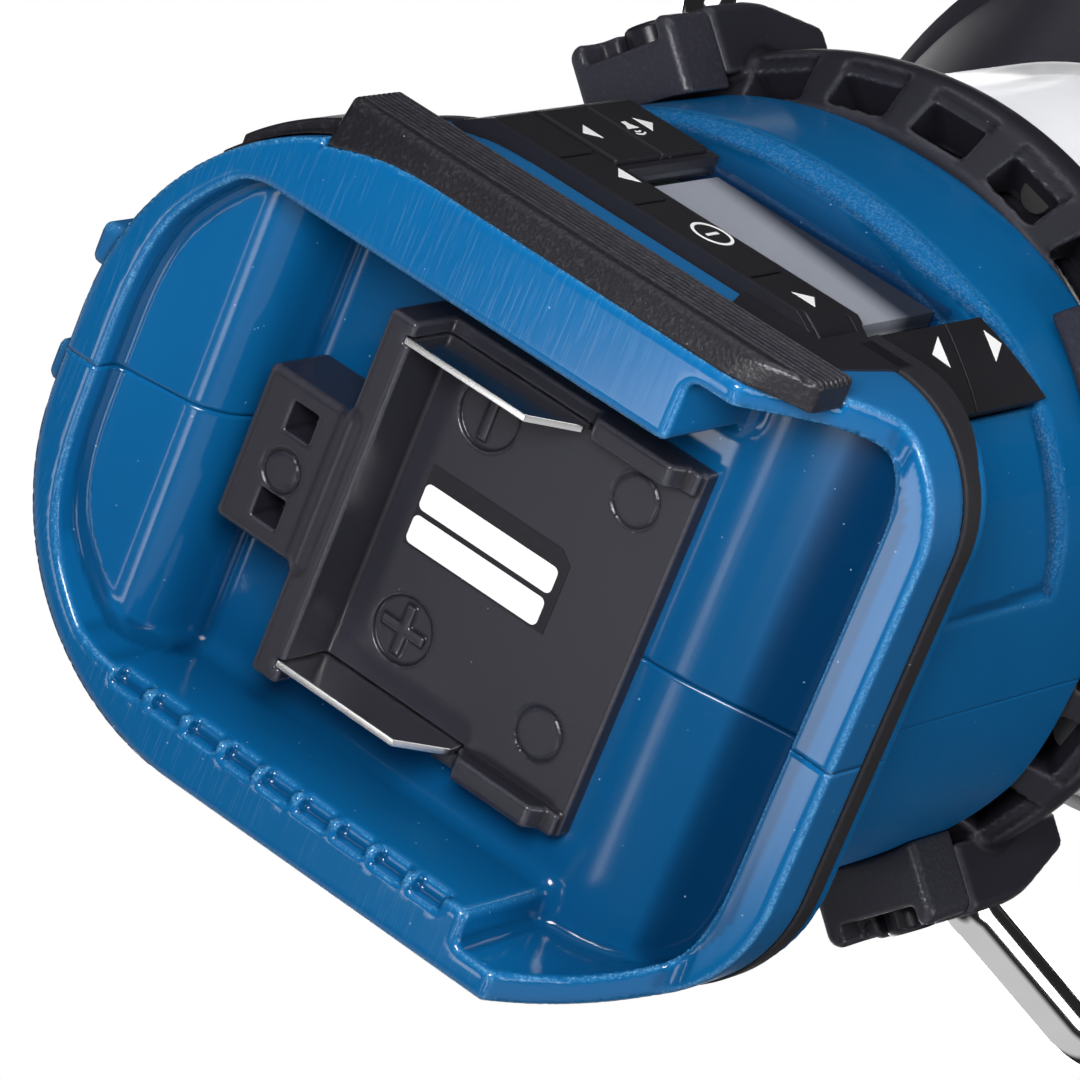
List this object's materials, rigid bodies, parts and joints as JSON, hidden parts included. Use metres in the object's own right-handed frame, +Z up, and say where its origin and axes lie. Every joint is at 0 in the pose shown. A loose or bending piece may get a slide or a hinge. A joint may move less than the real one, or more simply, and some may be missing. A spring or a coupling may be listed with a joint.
{
  "type": "camping lantern radio",
  "caption": "Camping lantern radio with a slide-battery base, keyed radio panel, vented speaker collar, round lantern head under a flared cap and a swinging rod bail.",
  "frame": {"origin": "on the standing plane, under the axis of the lantern head", "axes": "+Z up along the lantern's axis, -Y towards the control panel, +X to the right of someone facing it"},
  "size_m": [0.161, 0.161, 0.296],
  "materials": {
    "blue_plastic": "satin moulded plastic, teal blue",
    "black_plastic": "fine-grained moulded plastic, black",
    "black_rubber": "textured soft moulding, black",
    "key_rubber": "smooth matt key mat, black",
    "chrome_rod": "polished plated rod",
    "bright_steel": "plated sheet and screws",
    "display_glass": "clear window",
    "display_panel": "grey liquid-crystal panel, unlit",
    "circuit_board": "solder-masked board",
    "lamp_white": "white",
    "globe_plastic": "frosted clear plastic",
    "speaker_black": "paper cone and steel basket"
  },
  "bodies": {
    "housing": {"base_front_shell": "blue_plastic", "base_rear_shell": "blue_plastic", "edge_band": "black_rubber", "front_bumper": "black_rubber", "corner_pad": "black_rubber", "port_cover": "black_rubber", "terminal_block": "black_plastic", "terminal_rails": "bright_steel", "terminal_contacts": "bright_steel", "base_screws": "bright_steel", "body_front_shell": "blue_plastic", "body_rear_shell": "blue_plastic", "panel_bezel": "black_plastic", "display_window": "display_glass", "display_module": "display_panel", "keypad_board": "circuit_board", "main_board": "circuit_board", "speaker_baffle": "black_plastic", "speaker_driver": "speaker_black", "collar": "black_plastic", "corner_guards": "black_rubber", "collar_screws": "bright_steel", "ear_pins": "black_plastic", "led_board": "lamp_white", "led_column": "lamp_white", "globe": "globe_plastic", "globe_seal": "black_rubber", "cap_lower": "black_plastic", "cap_top": "black_plastic", "cap_screws": "bright_steel"},
    "bail": {"bail": "chrome_rod"},
    "key_mode": {"key_mode": "key_rubber"},
    "key_preset_down": {"key_preset_down": "key_rubber"},
    "key_power": {"key_power": "key_rubber"},
    "key_preset_up": {"key_preset_up": "key_rubber"},
    "key_volume_down": {"key_volume_down": "key_rubber"},
    "key_volume_up": {"key_volume_up": "key_rubber"},
    "key_tune_down": {"key_tune_down": "key_rubber"},
    "key_tune_up": {"key_tune_up": "key_rubber"}
  },
  "joints": [
    {"name": "bail_swing", "type": "hinge", "parent": "housing", "child": "bail", "pos_m": [0, 0, 0.1175], "axis": [0.7071, 0.7071, 0], "range_deg": [-105, 105]},
    {"name": "key_mode_press", "type": "slide", "parent": "housing", "child": "key_mode", "axis": [0, 1, 0], "range_m": [0, 0.0009], "stiffness_N_per_m": 600},
    {"name": "key_preset_down_press", "type": "slide", "parent": "housing", "child": "key_preset_down", "axis": [0, 1, 0], "range_m": [0, 0.0009], "stiffness_N_per_m": 600},
    {"name": "key_power_press", "type": "slide", "parent": "housing", "child": "key_power", "axis": [0, 1, 0], "range_m": [0, 0.0009], "stiffness_N_per_m": 600},
    {"name": "key_preset_up_press", "type": "slide", "parent": "housing", "child": "key_preset_up", "axis": [0, 1, 0], "range_m": [0, 0.0009], "stiffness_N_per_m": 600},
    {"name": "key_volume_down_press", "type": "slide", "parent": "housing", "child": "key_volume_down", "axis": [0, 1, 0], "range_m": [0, 0.0009], "stiffness_N_per_m": 600},
    {"name": "key_volume_up_press", "type": "slide", "parent": "housing", "child": "key_volume_up", "axis": [0, 1, 0], "range_m": [0, 0.0009], "stiffness_N_per_m": 600},
    {"name": "key_tune_down_press", "type": "slide", "parent": "housing", "child": "key_tune_down", "axis": [-0.6428, 0.766, 0], "range_m": [0, 0.0009], "stiffness_N_per_m": 600},
    {"name": "key_tune_up_press", "type": "slide", "parent": "housing", "child": "key_tune_up", "axis": [-0.6428, 0.766, 0], "range_m": [0, 0.0009], "stiffness_N_per_m": 600}
  ]
}
